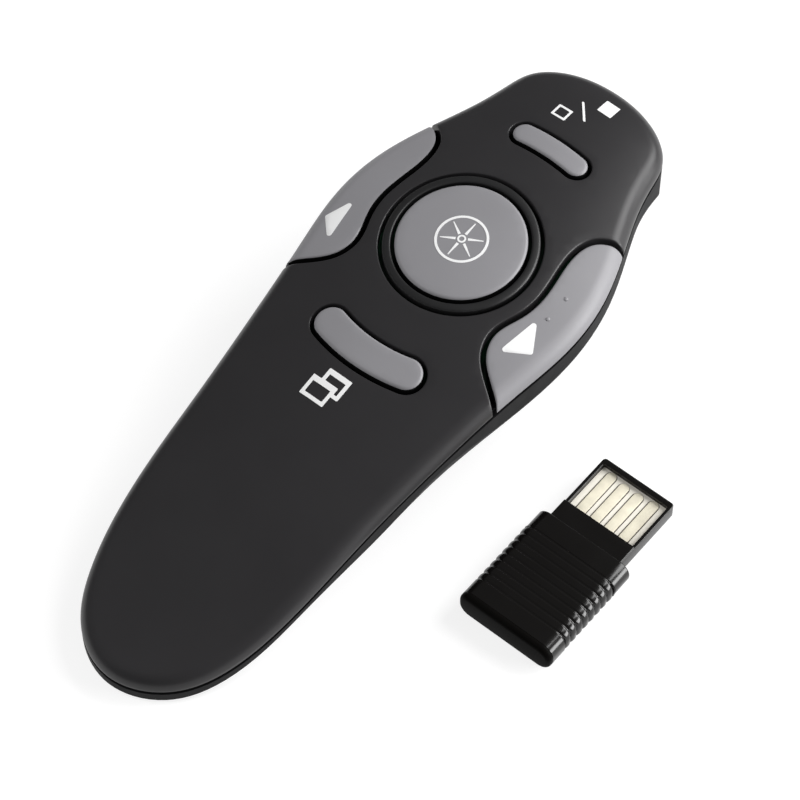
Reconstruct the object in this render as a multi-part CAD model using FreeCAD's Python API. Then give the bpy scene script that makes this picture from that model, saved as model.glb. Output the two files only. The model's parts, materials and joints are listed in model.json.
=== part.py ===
import FreeCAD, Part
import math
import os

# Wireless presentation clicker with its USB receiver lying beside it, in millimetres.
# Origin on the table under the centre of the big button, +Y to the nose, +X right, +Z up.

# Body, seen from above
body_length = 108.6
nose_reach = 35.0
half_width = 20.5
# Outline from the nose tip to the tail tip: share of the length, share of the half width
outline_shares = [
    (0.0, 0.0),
    (0.0129, 0.364),
    (0.046, 0.584),
    (0.0829, 0.643),
    (0.1197, 0.691),
    (0.1934, 0.84),
    (0.267, 0.966),
    (0.3407, 1.0),
    (0.4328, 0.935),
    (0.5433, 0.855),
    (0.6722, 0.782),
    (0.8011, 0.722),
    (0.9024, 0.6),
    (0.9669, 0.396),
    (1.0, 0.0),
]

# Body, seen from the side
parting_height = 18.2
# Parting line: share of the length from the nose tip, share of its greatest height
parting_shares = [
    (-0.03, 0.988),
    (0.0921, 1.0),
    (0.2302, 0.967),
    (0.3223, 0.934),
    (0.5065, 0.791),
    (0.6906, 0.571),
    (0.8287, 0.335),
    (0.93, 0.168),
    (1.0, 0.132),
    (1.03, 0.129),
]
crown_rise = 5.0
# Crown sections: share of the length, share of the rise, share of the half width, side fall
crown_shares = [
    (-0.015, 0.56, 0.731, 0.3),
    (0.0645, 0.84, 0.67, 0.44),
    (0.1934, 0.99, 0.852, 0.5),
    (0.3223, 1.0, 1.015, 0.52),
    (0.4696, 0.92, 0.923, 0.52),
    (0.6169, 0.82, 0.822, 0.48),
    (0.7643, 0.75, 0.741, 0.4),
    (0.8932, 0.67, 0.629, 0.28),
    (1.015, 0.5, 0.609, 0.2),
]
crown_reach_share = 1.3
rim_radius = 1.9
keel_height = 10.6
keel_depth = 0.35
# Belly sections: share of the length, share of the half width, keel lift share
belly_shares = [
    (-0.015, 0.733, 1.0),
    (0.0184, 0.689, 0.72),
    (0.0645, 0.654, 0.31),
    (0.1197, 0.702, 0.09),
    (0.1934, 0.862, 0.0),
    (0.3223, 1.02, 0.0),
    (0.4696, 0.928, 0.0),
    (0.6169, 0.825, 0.0),
    (0.7643, 0.754, 0.0),
    (0.9024, 0.66, 0.01),
    (0.9669, 0.61, 0.05),
    (1.015, 0.59, 0.12),
]
ellipse_share = 0.5523
wall = 1.6
reveal = 0.7
tongue_thick = 0.7
tongue_height = 0.9
tongue_clearance = 0.1
page_tongue_drop = 0.1
overrun = 2.0
touch_distance = 0.002
edge_spot_shares = (0.02, 0.5, 0.98)

# Plane of the big button and of the circuit board
deck_tilt_degrees = 5.8
button_height = 22.0

# Buttons
button_travel = 0.3
cap_thick = 2.5
flange_lap = 0.9
flange_clearance = 0.1
stem_radius = 1.5
cap_edge_radius = 0.4
laser_radius = 9.15
laser_proud = 0.3
ring_gap = 0.5
ring_width = 1.2
ring_groove = 0.55
ring_depth = 1.0
ring_proud = 0.15
ring_shelf = 0.5
ring_edge_radius = 0.3
slot_gap = 0.65
slot_proud = 0.3
blank_half_length = 6.0
blank_half_depth = 1.7
blank_place = 18.8
blank_bow = -45.0
window_half_length = 8.6
window_half_depth = 2.3
window_place = -21.3
window_bow = 23.5
page_gap = 0.75
# Inner edge of a page button from nose to tail, as shares of the half width
page_edge_shares = [
    (1.075, 0.601),
    (0.944, 0.606),
    (0.802, 0.588),
    (0.69, 0.517),
    (0.646, 0.386),
    (0.665, 0.193),
    (0.688, 0.0),
    (0.662, -0.193),
    (0.6, -0.416),
    (0.634, -0.578),
    (0.751, -0.7),
    (0.913, -0.807),
    (1.075, -0.913),
]
page_switch_across = 14.5
page_switch_place = -1.0
window_switch_place = -21.0

# Circuit board and what it carries
board_height = 16.0
board_thick = 0.8
board_inset = 3.4
board_front = 23.0
board_back = -24.5
switch_side = 4.5
switch_height = 1.1
plunger_radius = 1.2
plunger_rise = 0.4
plunger_clearance = 0.1
well_floor = 0.2
well_room = 0.05
plunger_depth = switch_height - well_floor - well_room - button_travel
chip_side = 5.0
chip_height = 1.0
chip_across = -5.0
chip_place = -14.0
crystal_length = 3.2
crystal_width = 2.5
crystal_height = 0.8
crystal_across = 2.5
crystal_place = -14.0
board_post_radius = 1.5
board_pin_radius = 0.6
board_pin_clearance = 0.1
board_post_across = 13.0
board_post_front = 14.5
board_post_back = -19.5

# Power switch under the board's left edge
power_place = -2.0
power_length = 7.0
power_depth = 3.6
power_height = 3.3
power_outer = 17.7
power_travel = 1.1
knob_length = 3.4
knob_height = 1.8
knob_reach = 20.4
knob_stem_length = 1.6
knob_stem_height = 1.2
knob_clearance = 0.15
knob_base = 0.7
knob_rib_depth = 0.25
knob_rib_width = 0.35
knob_rib_pitch = 0.8
knob_rib_count = 3

# Battery bay, its cells and door
cell_length = 44.5
cell_radius = 5.25
cell_spacing = 10.9
cell_height = 7.2
cell_nub_radius = 1.9
cell_nub_length = 1.2
cell_band = 0.6
cell_step = 0.15
bay_front = 13.2
bay_back = -34.2
bay_half_width = 11.1
bay_wall = 1.1
bay_wall_height = 12.2
bay_side_height = 9.0
bay_ledge = 0.6
contact_thick = 0.3
contact_half = 3.3
contact_clearance = 0.05
spring_radius = 2.4
spring_wire = 0.45
spring_turns = 3
spring_wire_sides = 8
door_thick = 1.2
door_gap = 0.2
door_tab_half = 1.3
door_tab_reach = 2.0
door_tab_thick = 0.8
door_tab_gap = 0.15
door_latch_half = 2.4
door_latch_thick = 0.8
door_latch_height = 3.4
door_grip_half = 4.0
door_grip_width = 0.5
door_grip_depth = 0.35
door_grip_pitch = 1.3
door_grip_count = 4
door_grip_inset = 3.0

# Screws and their posts
screw_head_radius = 2.0
screw_head_height = 1.3
screw_radius = 1.0
screw_length = 9.0
screw_slot_radius = 0.8
screw_slot_depth = 0.7
screw_clearance = 0.15
screw_end_room = 0.5
post_radius = 2.7
nose_screw_across = 8.4
nose_screw_place = 25.8
nose_screw_height = 9.5
tail_screw_across = 11.4
tail_screw_place = -39.0
tail_screw_height = 5.0
tail_screw_length = 6.2

# Laser in the nose
laser_height = 13.2
barrel_radius = 3.25
barrel_length = 12.0
barrel_back = 18.5
barrel_bore = 2.6
barrel_lip = 0.6
barrel_aperture = 1.6
lens_thick = 1.2
diode_radius = 2.4
diode_length = 3.2
diode_flange = 0.8
driver_thick = 0.8
driver_half = 2.8
cradle_thick = 1.2
cradle_places = [20.5, 27.0]
pane_radius = 2.5
pane_flange = 0.7
pane_flange_thick = 0.8
pane_recess = 0.3
pane_clearance = 0.05

# Receiver bay in the tail's underside
dock_front = -35.6
dock_clearance = 0.3
dock_wall = 0.9

# Receiver
receiver_across = 35.95
receiver_front = -17.4
receiver_length = 17.8
receiver_half_width = 7.7
receiver_height = 4.6
receiver_corner = 1.9
receiver_wall = 1.0
collar_length = 3.35
collar_drop = 0.3
rib_count = 9
rib_pitch = 1.31
rib_groove = 0.4
rib_side_depth = 0.5
rib_top_depth = 0.18
end_cap_length = 1.0
end_cap_bevel = 0.7
plug_half_width = 6.0
plug_reach = 12.15
plug_bottom = 1.1
plug_height = 2.3
plug_floor = 0.6
plug_side = 0.55
plug_tip = 0.65
plug_root = 2.0
tongue_gap = 0.05
tongue_plate = 0.9
tongue_length = 8.4
bridge_height = 2.9
contact_half_width = 0.9
contact_proud = 0.08
contact_across_shares = [(-0.6, 0.97), (-0.2, 0.92), (0.2, 0.92), (0.6, 0.97)]
tiny_board_length = 12.0
tiny_board_half_width = 5.2
tiny_board_thick = 0.8

V = FreeCAD.Vector
ORIGIN = V(0, 0, 0)
ALONG = V(0, 1, 0)
ACROSS = V(1, 0, 0)
tilt = math.radians(deck_tilt_degrees)
deck_normal = V(0, -math.sin(tilt), math.cos(tilt))
barrel_front = barrel_back + barrel_length


def place_along(share):
    """Y of a place given as a share of the length from the nose tip."""
    return nose_reach - body_length * share


def smooth_curve(points, closed=False):
    """Interpolated curve through the points."""
    curve = Part.BSplineCurve()
    curve.interpolate(Points=points, PeriodicFlag=closed)
    return curve


def moved_points(curve, points, inset):
    """The curve's points moved to its right-hand side by inset."""
    moved = []
    for point in points:
        heading = curve.tangent(curve.parameter(point))[0]
        moved.append(point + V(heading.y, -heading.x, 0) * inset)
    return moved


def box_between(low, high):
    size = high - low
    return Part.makeBox(size.x, size.y, size.z, low)


def mirrored(shape):
    return shape.mirror(ORIGIN, ACROSS)


def fused(shapes):
    """One clean solid out of touching or overlapping ones."""
    whole = shapes[0].multiFuse(shapes[1:])
    return whole.removeSplitter()


def outline_face(inset):
    """Plan outline of the body, drawn in by inset."""
    right = [V(half_width * w, place_along(y), 0) for y, w in outline_shares]
    left = [V(-p.x, p.y, 0) for p in right[-2:0:-1]]
    base = smooth_curve(right + left, True)
    edge = smooth_curve(moved_points(base, right + left, inset), True).toShape()
    return Part.Face(Part.Wire([edge]))


def outline_prism(inset):
    """Upright prism of the plan outline, from below the table to above the crown."""
    face = outline_face(inset)
    face.translate(V(0, 0, -overrun))
    return face.extrude(V(0, 0, button_height + crown_rise + overrun))


def parting_curve():
    points = [V(0, place_along(y), parting_height * z) for y, z in parting_shares]
    return smooth_curve(points)


PARTING = parting_curve()


def parting_at(y):
    """Height of the parting line at a place along the body."""
    upright = Part.makeLine(V(0, y, -button_height), V(0, y, 2 * button_height))
    return PARTING.toShape().distToShape(upright)[1][0][0].z


def beyond_parting(side, shift):
    """Slab over the parting line, moved up by shift, on its upper or lower side."""
    edge = PARTING.toShape()
    edge.translate(V(-half_width - overrun, 0, shift))
    start, end = edge.valueAt(edge.FirstParameter), edge.valueAt(edge.LastParameter)
    far = button_height + crown_rise + overrun if side > 0 else -overrun
    corners = [end, V(end.x, end.y, far), V(start.x, start.y, far), start]
    wire = Part.Wire([edge] + Part.makePolygon(corners).Edges)
    return Part.Face(wire).extrude(V(2 * (half_width + overrun), 0, 0))


def above_parting(shift):
    return beyond_parting(1, shift)


def below_parting(shift):
    return beyond_parting(-1, shift)


def crown_body(drop):
    """Everything under the crowned top surface, lowered by drop."""
    sections = []
    for y_share, rise_share, width_share, fall_share in crown_shares:
        y = place_along(y_share)
        rise = crown_rise * rise_share
        top = parting_at(y) + rise - drop
        reach = half_width * width_share * crown_reach_share
        edge_z = top - rise * fall_share * crown_reach_share ** 2
        left, right = V(-reach, y, edge_z), V(reach, y, edge_z)
        arch = Part.BezierCurve()
        arch.setPoles([left, V(0, y, 2 * top - edge_z), right])
        foot = -crown_rise - 2 * overrun
        corners = [right, V(reach, y, foot), V(-reach, y, foot), left]
        sections.append(Part.Wire([arch.toShape()] + Part.makePolygon(corners).Edges))
    return Part.makeLoft(sections, True, False)


def belly_body(inset):
    """Everything above the rounded underside, drawn in by inset, up past the crown."""
    sections = []
    for y_share, width_share, lift_share in belly_shares:
        y = place_along(y_share)
        level = parting_at(y)
        reach = half_width * width_share - inset
        keel = keel_height * lift_share - keel_depth * (1 - lift_share) + inset
        deep = (level - keel) * ellipse_share
        high = button_height + crown_rise
        curves = []
        for side in (1, -1):
            half = Part.BezierCurve()
            poles = [V(side * reach, y, level), V(side * reach, y, level - deep),
                     V(side * reach * ellipse_share, y, keel), V(0, y, keel)]
            half.setPoles(poles if side > 0 else poles[::-1])
            curves.append(half.toShape())
        corners = [V(-reach, y, level), V(-reach, y, high), V(reach, y, high), V(reach, y, level)]
        sections.append(Part.Wire(curves + Part.makePolygon(corners).Edges))
    body = Part.makeLoft(sections, True, False)
    floor = max(inset - keel_depth, 0)
    wide = half_width + overrun
    table = box_between(V(-wide, -body_length, -2 * overrun), V(wide, body_length, floor))
    return body.cut(table)


def deck_cylinder(radius, low, high, x=0, y=0):
    """Cylinder square to the deck, with its ends measured from the deck's plane at (x, y)."""
    foot = V(x, y, button_height + y * math.tan(tilt))
    return Part.makeCylinder(radius, high - low, foot + deck_normal * low, deck_normal)


def board_box(x, y, length, width, low, high):
    """Box on the board's plane: length along Y, width along X, ends measured from its top."""
    solid = Part.makeBox(width, length, high - low, V(-width / 2, -length / 2, low))
    solid.rotate(ORIGIN, ACROSS, deck_tilt_degrees)
    solid.translate(V(x, y, board_height + y * math.tan(tilt)))
    return solid


def board_cylinder(x, y, radius, low, high):
    foot = V(x, y, board_height + y * math.tan(tilt))
    return Part.makeCylinder(radius, high - low, foot + deck_normal * low, deck_normal)


def bean_prism(place, half_length, half_depth, bow, grow):
    """Upright prism of a slot button: a band along an arc of radius bow, with round ends."""
    side = 1 if bow > 0 else -1
    centre = V(0, place + bow, 0)
    radius = abs(bow)
    turn = math.asin((half_length - half_depth) / radius)
    half = half_depth + grow

    def at(angle, distance):
        return centre + V(math.sin(angle), -side * math.cos(angle), 0) * distance

    def cap(angle):
        outward = V(math.cos(angle), side * math.sin(angle), 0) * (1 if angle > 0 else -1)
        return at(angle, radius) + outward * half

    outer, inner = radius + half, radius - half
    edges = [
        Part.Arc(at(-turn, outer), at(0, outer), at(turn, outer)).toShape(),
        Part.Arc(at(turn, outer), cap(turn), at(turn, inner)).toShape(),
        Part.Arc(at(turn, inner), at(0, inner), at(-turn, inner)).toShape(),
        Part.Arc(at(-turn, inner), cap(-turn), at(-turn, outer)).toShape(),
    ]
    return Part.Face(Part.Wire(edges)).extrude(V(0, 0, button_height + crown_rise))


def page_prism(grow):
    """Upright prism over the right page button, open past the body's edge."""
    points = [V(half_width * x, half_width * y, 0) for x, y in page_edge_shares]
    base = smooth_curve(points)
    edge = smooth_curve(moved_points(base, points, grow))
    start, end = edge.StartPoint, edge.EndPoint
    far = half_width * crown_reach_share
    corners = [end, V(far, end.y, 0), V(far, start.y, 0), start]
    wire = Part.Wire([edge.toShape()] + Part.makePolygon(corners).Edges)
    return Part.Face(wire).extrude(V(0, 0, button_height + crown_rise))


def laser_prism(grow):
    return deck_cylinder(laser_radius + grow, -button_height / 2, crown_rise)


def blank_prism(grow):
    return bean_prism(blank_place, blank_half_length, blank_half_depth, blank_bow, grow)


def window_prism(grow):
    return bean_prism(window_place, window_half_length, window_half_depth, window_bow, grow)


OUTER = outline_prism(0)
CROWN = crown_body(0)
UNDER_SKIN = crown_body(wall)
UNDER_CAP = crown_body(cap_thick)
FLANGE_TOP = crown_body(wall + flange_clearance)


def top_edges(shape):
    """Edges round the uppermost face."""
    return max(shape.Faces, key=lambda face: face.CenterOfMass.z).Edges


def crowned_dome():
    """Upper half of the body before it is divided, with its rim rounded."""
    dome = OUTER.common(CROWN).common(above_parting(reveal / 2))
    rim = [edge for edge in dome.Edges
           if edge.CenterOfMass.z > 0 and lies_on(edge, CROWN)]
    return dome.makeFillet(rim_radius, rim)


def lies_on(edge, body):
    """Whether the edge's middle and ends lie on the lofted top face of a crowned body."""
    top = max(body.Faces, key=lambda f: f.CenterOfMass.z)
    spots = [edge.valueAt(edge.FirstParameter + (edge.LastParameter - edge.FirstParameter) * share)
             for share in edge_spot_shares]
    return all(top.distToShape(Part.Vertex(spot))[0] < touch_distance for spot in spots)


DOME = crowned_dome()


def switch_spots():
    """Place of each tactile switch: name, across, along."""
    return [
        ("laser", 0, 0),
        ("page_back", -page_switch_across, page_switch_place),
        ("page_forward", page_switch_across, page_switch_place),
        ("blank", 0, blank_place),
        ("window", 0, window_switch_place),
    ]


def button_stem(x, y):
    """Round stem from inside the cap down to the plunger of the switch."""
    top = switch_height + plunger_rise
    stem = board_cylinder(x, y, stem_radius, top, button_height - board_height)
    return stem.common(crown_body((wall + cap_thick) / 2))


def button(prism, proud, lap, x, y):
    """Cap that follows the crown, with a hidden flange under the cover and a stem."""
    cap = prism(0).common(crown_body(-proud)).cut(UNDER_CAP)
    cap = cap.makeFillet(cap_edge_radius, top_edges(cap))
    flange = prism(lap).common(FLANGE_TOP).cut(UNDER_CAP)
    return fused([cap, flange, button_stem(x, y)])


def laser_button():
    """Big round button; its flange laps the shelf that the ring sits on."""
    lap = ring_gap + ring_width - ring_shelf + flange_lap
    return button(laser_prism, laser_proud, lap, 0, 0)


def blank_button():
    return button(blank_prism, slot_proud, slot_gap + flange_lap, 0, blank_place)


def window_button():
    return button(window_prism, slot_proud, slot_gap + flange_lap, 0, window_switch_place)


def page_forward_button():
    """Right page button, cut from the rounded dome so that it carries the body's edge."""
    x, y = page_switch_across, page_switch_place
    cap = page_prism(0).common(DOME).cut(UNDER_CAP.common(outline_prism(wall)))
    inside = outline_prism(wall + flange_clearance)
    flange = page_prism(page_gap + flange_lap).common(FLANGE_TOP).common(inside)
    flange = flange.cut(UNDER_CAP).common(above_parting(reveal / 2))
    return fused([cap, flange, button_stem(x, y)])


def button_ring():
    """Trim ring round the big button, on the shelf inside the cover's hole."""
    inner = laser_prism(ring_gap)
    ring = laser_prism(ring_gap + ring_width).cut(inner)
    ring = ring.common(crown_body(-ring_proud)).cut(crown_body(ring_depth))
    return ring.makeFillet(ring_edge_radius, top_edges(ring))


def screw_places():
    """Each screw: across, along, height of its head's seat, length."""
    places = []
    for side in (1, -1):
        places.append((side * nose_screw_across, nose_screw_place, nose_screw_height, screw_length))
        places.append((side * tail_screw_across, tail_screw_place, tail_screw_height,
                       tail_screw_length))
    return places


def cover_bosses():
    """Bosses that come down from the cover onto the lower shell's posts."""
    radius = post_radius - tongue_clearance
    return [Part.makeCylinder(radius, button_height, V(x, y, parting_at(y)))
            for x, y, seat, length in screw_places()]


def screw_pilots():
    """Blind holes in the bosses that the screws cut their thread in."""
    pilots = []
    for x, y, seat, length in screw_places():
        start = parting_at(y) - overrun
        end = seat + length + screw_end_room
        pilots.append(Part.makeCylinder(screw_radius, end - start, V(x, y, start)))
    return pilots


def top_cover():
    """Upper shell with its button openings, ring shelf, groove for the tongue and bosses."""
    cavity = outline_prism(wall).common(UNDER_SKIN).cut(cover_bosses())
    groove = outline_prism(wall - tongue_thick - tongue_clearance)
    groove = groove.common(below_parting(reveal / 2 + tongue_height + tongue_clearance))
    shell = DOME.cut([cavity, groove.cut(cover_bosses())] + screw_pilots())
    ring_outer = laser_prism(ring_gap + ring_width + ring_groove).cut(crown_body(ring_depth))
    through = laser_prism(ring_gap + ring_width - ring_shelf)
    page = page_prism(page_gap)
    openings = [ring_outer, through, blank_prism(slot_gap), window_prism(slot_gap),
                page, mirrored(page)]
    return shell.cut(openings)


def bay_box(grow, low, high):
    """Box round the battery bay, grown sideways and endways."""
    return box_between(V(-bay_half_width - grow, bay_back - grow, low),
                       V(bay_half_width + grow, bay_front + grow, high))


def battery_walls():
    """Walls round the battery bay, lower along the sides than across the ends."""
    ring = bay_box(bay_wall, -overrun, bay_wall_height).cut(bay_box(0, -2 * overrun, button_height))
    sides = box_between(V(-half_width, bay_back, bay_side_height),
                        V(half_width, bay_front, button_height))
    return ring.cut(sides)


def dock_boxes(grow, top_grow):
    """Space for the stored receiver: its body and, towards the tail, its plug."""
    side = receiver_half_width + dock_clearance + grow
    plug_side_reach = plug_half_width + dock_clearance + grow
    body_back = dock_front - receiver_length - 2 * dock_clearance
    tip = body_back - plug_reach
    body_top = receiver_height + 2 * dock_clearance + top_grow
    plug_top = plug_bottom + plug_height + 2 * dock_clearance + top_grow
    body = box_between(V(-side, body_back - grow, -overrun), V(side, dock_front + grow, body_top))
    plug = box_between(V(-plug_side_reach, tip - grow, -overrun),
                       V(plug_side_reach, body_back + grow, plug_top))
    return [body, plug]


def board_posts():
    """Posts with locating pins under the circuit board."""
    posts = []
    for side in (1, -1):
        for y in (board_post_front, board_post_back):
            x = side * board_post_across
            posts.append(board_cylinder(x, y, board_post_radius, -board_height, -board_thick))
            posts.append(board_cylinder(x, y, board_pin_radius, -board_height, board_thick / 2))
    return posts


def laser_cradle():
    """Two upright ribs that hold the laser barrel."""
    ribs = []
    for y in cradle_places:
        ribs.append(box_between(V(-barrel_radius - wall, y - cradle_thick / 2, 0),
                                V(barrel_radius + wall, y + cradle_thick / 2, laser_height)))
    return ribs


def battery_ledges(inner_belly):
    """Narrow ledges inside the bay's sides that the door's edges close against."""
    strips = []
    for side in (1, -1):
        near, far = bay_half_width - bay_ledge, bay_half_width + bay_wall / 2
        low, high = sorted((side * near, side * far))
        strips.append(box_between(V(low, bay_back, 0), V(high, bay_front, bay_side_height)))
    top = belly_body(2 * door_thick)
    return [strip.common(inner_belly).cut(top) for strip in strips]


def shell_walls():
    """Walls, posts and ribs that stand in the lower shell, under the board and the cover."""
    under_board = ceiling_block()
    under_cover = crown_body(wall + tongue_clearance)
    tall = [battery_walls()] + dock_boxes(dock_wall, dock_wall)
    walls = [piece.common(under_cover).common(under_board) for piece in tall]
    screw_posts = [Part.makeCylinder(post_radius, parting_at(y), V(x, y, 0))
                   for x, y, seat, length in screw_places()]
    return walls + laser_cradle() + board_posts() + screw_posts


def shell_cuts():
    """Bays, holes and wells that are cut out of the lower shell."""
    cuts = [bay_box(0, -overrun, bay_side_height + button_height)] + dock_boxes(0, 0)
    cuts += [tab_slot(), knob_slot()]
    cuts.append(Part.makeCylinder(barrel_radius + pane_clearance, barrel_length,
                                  V(0, barrel_back, laser_height), ALONG))
    cuts.append(Part.makeCylinder(pane_radius + pane_clearance, nose_reach,
                                  V(0, barrel_front, laser_height), ALONG))
    for x, y, seat, length in screw_places():
        well = screw_head_radius + screw_clearance
        cuts.append(Part.makeCylinder(well, seat + overrun, V(x, y, -overrun)))
        cuts.append(Part.makeCylinder(screw_radius + screw_clearance, button_height, V(x, y, 0)))
    return cuts


def bottom_shell():
    """Lower shell: rounded belly with its tongue, hollowed round the walls that stand in it."""
    belly = belly_body(0)
    body = belly.common(OUTER).common(below_parting(-reveal / 2))
    core = outline_prism(wall - tongue_thick)
    core = core.common(below_parting(reveal / 2 + tongue_height))
    page = page_prism(page_gap).common(above_parting(-page_tongue_drop))
    core = core.cut([page, mirrored(page)]).common(belly)
    hollow = belly_body(wall).common(outline_prism(wall)).cut(shell_walls())
    shell = body.fuse(core).cut([hollow] + shell_cuts())
    return fused([shell] + battery_ledges(belly_body(door_thick + tongue_gap)))


def ceiling_block():
    """Space under the circuit board, which limits the height of the walls below it."""
    reach = body_length
    low = Part.makeBox(2 * reach, 2 * reach, 2 * reach, V(-reach, -reach, -2 * reach))
    low.translate(V(0, 0, -board_thick - dock_clearance))
    low.rotate(ORIGIN, ACROSS, deck_tilt_degrees)
    low.translate(V(0, 0, board_height))
    return low


def tab_slot():
    """Slot in the bay's front wall that the door's tab reaches through."""
    half = door_tab_half + door_gap
    top = wall + door_tab_gap + door_tab_thick + 3 * door_tab_gap + door_tab_thick
    return box_between(V(-half, bay_front - bay_wall, wall), V(half, bay_front + 2 * bay_wall, top))


def battery_door():
    """Curved door under the cells, with a tab at the nose end and a latch at the tail end."""
    panel = bay_box(-door_gap, -overrun, bay_side_height)
    panel = panel.common(belly_body(0)).cut(belly_body(door_thick))
    end = bay_front - door_gap
    tab_low = wall + door_tab_gap
    root = box_between(V(-door_tab_half, end - door_tab_thick, door_thick / 2),
                       V(door_tab_half, end, tab_low + door_tab_thick))
    tab = box_between(V(-door_tab_half, end - door_tab_thick, tab_low),
                      V(door_tab_half, end + door_tab_reach, tab_low + door_tab_thick))
    back = bay_back + door_gap
    latch = box_between(V(-door_latch_half, back, door_thick / 2),
                        V(door_latch_half, back + door_latch_thick, door_latch_height))
    door = fused([panel, root, tab, latch])
    for index in range(door_grip_count):
        y = back + door_grip_inset + index * door_grip_pitch
        groove = box_between(V(-door_grip_half, y, -overrun),
                             V(door_grip_half, y + door_grip_width, door_grip_depth))
        door = door.cut(groove)
    return door


def cell_at(side):
    """One AAA cell; the two lie head to tail."""
    x = side * cell_spacing / 2
    nub_end = bay_front - contact_thick if side < 0 else bay_back + contact_thick
    heading = -ALONG if side < 0 else ALONG
    start = V(x, nub_end, cell_height)
    nub = Part.makeCylinder(cell_nub_radius, cell_nub_length, start, heading)
    length = cell_length - cell_nub_length
    shoulder = start + heading * cell_nub_length
    can = Part.makeCylinder(cell_radius - cell_step, length, shoulder, heading)
    sleeve = Part.makeCylinder(cell_radius, length - 2 * cell_band, shoulder + heading * cell_band,
                               heading)
    return fused([nub, can, sleeve])


def spring_at(side):
    """Coil contact behind the flat end of a cell."""
    x = side * cell_spacing / 2
    if side < 0:
        low = bay_back + contact_thick
        high = bay_front - contact_thick - cell_length
    else:
        low = bay_back + contact_thick + cell_length
        high = bay_front - contact_thick
    room = high - low - spring_wire - 2 * contact_clearance
    helix = Part.makeHelix(room / spring_turns, room, spring_radius)
    start = helix.Edges[0].valueAt(helix.Edges[0].FirstParameter)
    turns = [2 * math.pi * index / spring_wire_sides for index in range(spring_wire_sides + 1)]
    ring = Part.makePolygon([start + V(math.cos(turn), 0, math.sin(turn)) * (spring_wire / 2)
                             for turn in turns])
    coil = Part.Wire(helix.Edges).makePipeShell([ring], True, True)
    coil.rotate(ORIGIN, ACROSS, -90)
    coil.translate(V(x, low + spring_wire / 2 + contact_clearance, cell_height))
    return coil


def contact_plate(x_low, x_high, y):
    return box_between(V(x_low, y, cell_height - contact_half),
                       V(x_high, y + contact_thick, cell_height + contact_half))


def battery_bridge():
    """Plate at the tail end that joins the two cells."""
    reach = cell_spacing / 2 + contact_half
    return contact_plate(-reach, reach, bay_back)


def battery_tabs():
    """Two separate plates at the nose end, one for each cell."""
    plates = []
    for side in (1, -1):
        middle = side * cell_spacing / 2
        plates.append(contact_plate(middle - contact_half, middle + contact_half,
                                    bay_front - contact_thick))
    return Part.makeCompound(plates)


def circuit_board():
    """Board that follows the body's outline, with holes for the locating pins."""
    front, back = board_front, board_back
    plan = outline_prism(board_inset)
    middle = (front + back) / 2
    slab = board_box(0, middle, (front - back) / math.cos(tilt), 2 * half_width, -board_thick, 0)
    board = slab.common(plan)
    for side in (1, -1):
        for y in (board_post_front, board_post_back):
            hole = board_cylinder(side * board_post_across, y, board_pin_radius + board_pin_clearance,
                                  -2 * board_thick, board_thick)
            board = board.cut(hole)
    return board


def switch_bodies():
    """Five square switch housings with a round well each."""
    bodies = []
    for name, x, y in switch_spots():
        body = board_box(x, y, switch_side, switch_side, 0, switch_height)
        well = board_cylinder(x, y, plunger_radius + plunger_clearance, well_floor,
                              2 * switch_height)
        bodies.append(body.cut(well))
    return Part.makeCompound(bodies)


def switch_plunger(x, y):
    top = switch_height + plunger_rise
    return board_cylinder(x, y, plunger_radius, plunger_depth, top)


def radio_chip():
    return board_box(chip_across, chip_place, chip_side, chip_side, 0, chip_height)


def board_crystal():
    can = board_box(crystal_across, crystal_place, crystal_width, crystal_length, 0, crystal_height)
    return can.makeFillet(crystal_height / 4, top_edges(can))


def knob_box(x_low, x_high, length, height):
    """Box across the left wall, centred on the power switch's slot."""
    solid = Part.makeBox(x_high - x_low, length, height, V(-x_high, -length / 2, -height / 2))
    solid.rotate(ORIGIN, ACROSS, deck_tilt_degrees)
    drop = board_thick + power_height / 2
    solid.translate(V(0, power_place, board_height + power_place * math.tan(tilt)))
    solid.translate(-deck_normal * drop)
    return solid


def knob_slot():
    """Slot in the left wall for the power knob and its travel."""
    length = knob_length + 2 * power_travel + 2 * knob_clearance
    return knob_box(power_outer - wall, half_width + overrun, length,
                    knob_height + 2 * knob_clearance)


def power_switch_body():
    """Slide switch housing under the board, with a window for the knob's stem."""
    body = board_box(-power_outer + power_depth / 2, power_place, power_length, power_depth,
                     -board_thick - power_height, -board_thick)
    length = knob_stem_length + 2 * power_travel + 2 * knob_clearance
    window = knob_box(power_outer - power_depth / 2 - knob_clearance, power_outer + overrun, length,
                      knob_stem_height + 2 * knob_clearance)
    return body.cut(window)


def power_switch_knob():
    """Ribbed knob in the wall's slot, on a stem that runs into the switch."""
    stem = knob_box(power_outer - power_depth / 2, power_outer + knob_base, knob_stem_length,
                    knob_stem_height)
    head = knob_box(power_outer + knob_clearance, knob_reach, knob_length, knob_height)
    head = head.makeFillet(knob_rib_depth, [edge for edge in head.Edges
                                            if edge.CenterOfMass.x < -knob_reach + knob_rib_depth / 2])
    knob = fused([stem, head])
    for index in range(knob_rib_count):
        offset = (index - (knob_rib_count - 1) / 2) * knob_rib_pitch
        groove = knob_box(knob_reach - knob_rib_depth, knob_reach + overrun, knob_rib_width,
                          2 * knob_height)
        groove.translate(V(0, offset * math.cos(tilt), offset * math.sin(tilt)))
        knob = knob.cut(groove)
    return knob


def laser_barrel():
    """Metal barrel, bored from the back, with a lip and aperture at the front."""
    barrel = Part.makeCylinder(barrel_radius, barrel_length, V(0, barrel_back, laser_height), ALONG)
    bore = Part.makeCylinder(barrel_bore, barrel_length - barrel_lip,
                             V(0, barrel_back, laser_height), ALONG)
    aperture = Part.makeCylinder(barrel_aperture, barrel_length,
                                 V(0, barrel_back, laser_height), ALONG)
    return barrel.cut(bore).cut(aperture)


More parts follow.
